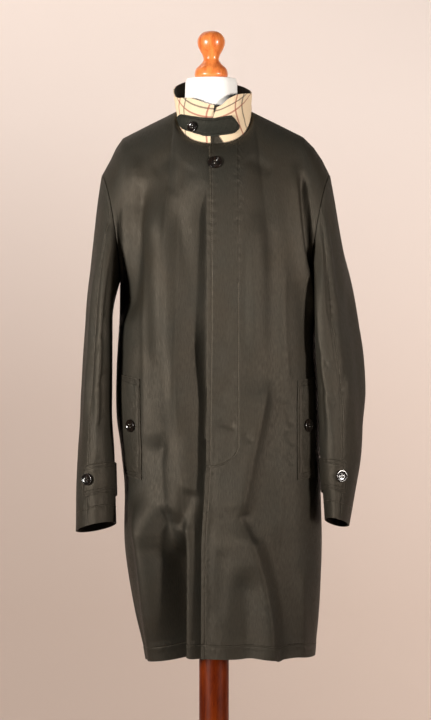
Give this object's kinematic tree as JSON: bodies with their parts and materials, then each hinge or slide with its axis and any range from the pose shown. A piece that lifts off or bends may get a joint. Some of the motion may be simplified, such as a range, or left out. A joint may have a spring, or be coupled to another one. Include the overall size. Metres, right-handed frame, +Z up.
{
  "type": "overcoat on a limbless dress form with a round wooden stand",
  "caption": "Knee-length single-breasted overcoat with a fly front and raised, strapped collar, worn by a limbless dress form on a turned wooden stand.",
  "frame": {"origin": "middle of the flat underside of the stand's round base", "axes": "+Z up along the pole; -Y is the coat's front; +X is the wearer's left"},
  "size_m": [0.5229, 0.36, 1.6234],
  "materials": {
    "gabardine": "satin",
    "checked_cloth": "matte",
    "strap_cloth": "satin",
    "horn": "glossy",
    "jersey": "matte",
    "finial_wood": "glossy",
    "stand_wood": "glossy"
  },
  "bodies": {
    "root": {"back": "gabardine", "base": "stand_wood", "button_cuff_left": "horn", "button_cuff_right": "horn", "button_throat": "horn", "button_top": "horn", "button_welt_left": "horn", "button_welt_right": "horn", "collar_top": "gabardine", "collar_under": "checked_cloth", "cuff_strap_left": "gabardine", "cuff_strap_right": "gabardine", "finial": "finial_wood", "form_torso": "jersey", "front_left": "gabardine", "front_right": "gabardine", "pole": "stand_wood", "sleeve_left_top": "gabardine", "sleeve_left_under": "gabardine", "sleeve_right_top": "gabardine", "sleeve_right_under": "gabardine", "throat_strap": "strap_cloth", "welt_left": "gabardine", "welt_right": "gabardine"}
  },
  "joints": []
}
